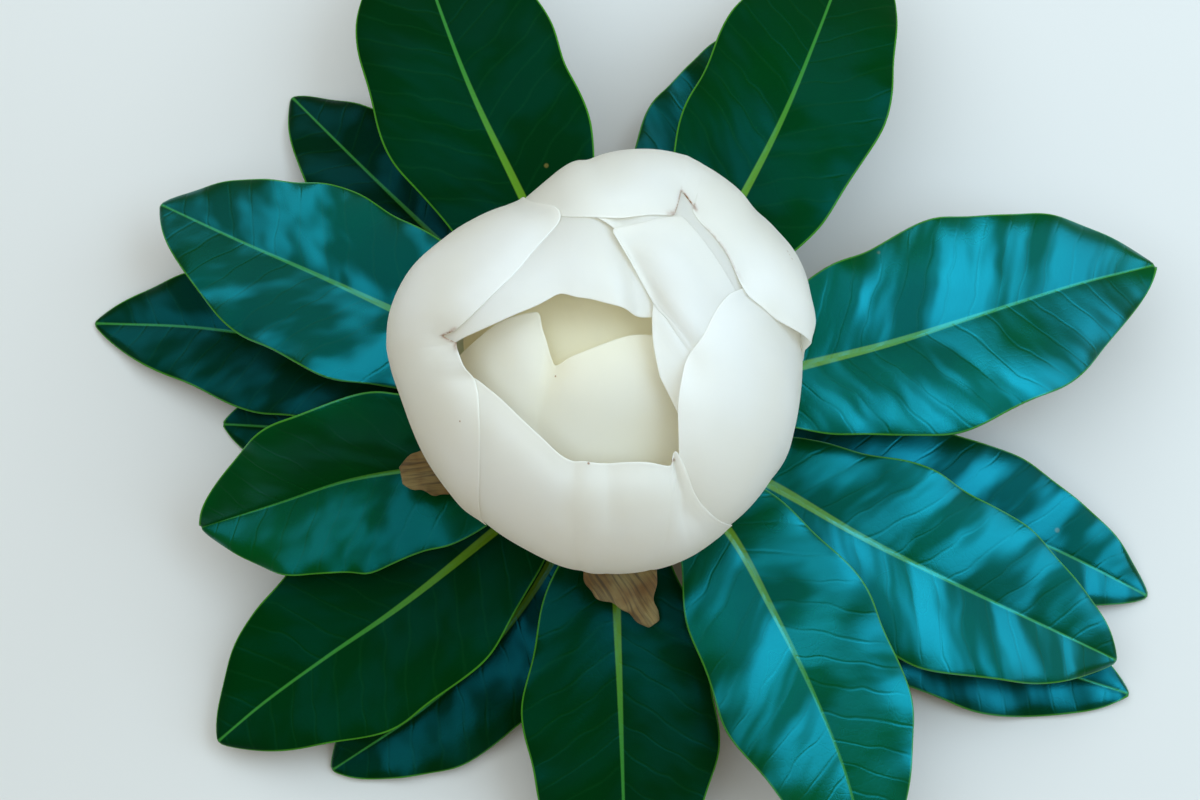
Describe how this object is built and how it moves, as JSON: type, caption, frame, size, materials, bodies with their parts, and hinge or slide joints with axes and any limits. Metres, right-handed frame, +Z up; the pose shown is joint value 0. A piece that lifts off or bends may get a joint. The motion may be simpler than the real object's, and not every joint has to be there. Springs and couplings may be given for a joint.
{
  "type": "magnolia flower",
  "caption": "Half-open cream-white magnolia flower on a short cut stem, with the whorl of glossy leaves that grows under it, standing on its cut end and leaf tips.",
  "frame": {"origin": "Middle of the bounding box on the surface that the flower stands on, close to the middle of the cut end of the stem", "axes": "+Z up, along the cut stem towards the bloom; +X towards the right of the picture; +Y towards the top of the picture"},
  "size_m": [0.3292, 0.31, 0.1398],
  "materials": {
    "tepal": "waxy cream-white, softly translucent",
    "leaf": "leathery deep green, glossy above and dull olive beneath",
    "stem": "green bark with short down, pale cut end",
    "stamens": "cream, matt",
    "carpels": "yellow-green, downy",
    "bract": "dry, papery brown"
  },
  "bodies": {
    "root": {"stem": "stem", "tepal_outer_back": "tepal", "tepal_outer_left": "tepal", "tepal_outer_front": "tepal", "tepal_middle_right": "tepal", "tepal_middle_back": "tepal", "tepal_middle_left": "tepal", "tepal_inner_right": "tepal", "tepal_inner_front": "tepal", "tepal_inner_back": "tepal", "stamens": "stamens", "carpels": "carpels", "leaf_back_left": "leaf", "leaf_back_right": "leaf", "leaf_back_low": "leaf", "leaf_right": "leaf", "leaf_right_front": "leaf", "leaf_right_under": "leaf", "leaf_right_low": "leaf", "leaf_front_right": "leaf", "leaf_front": "leaf", "leaf_front_left": "leaf", "leaf_left_front": "leaf", "leaf_left_fold": "leaf", "leaf_left": "leaf", "leaf_left_low": "leaf", "leaf_left_under": "leaf", "leaf_back_left_low": "leaf", "bract_left": "bract", "bract_front": "bract"}
  },
  "joints": []
}
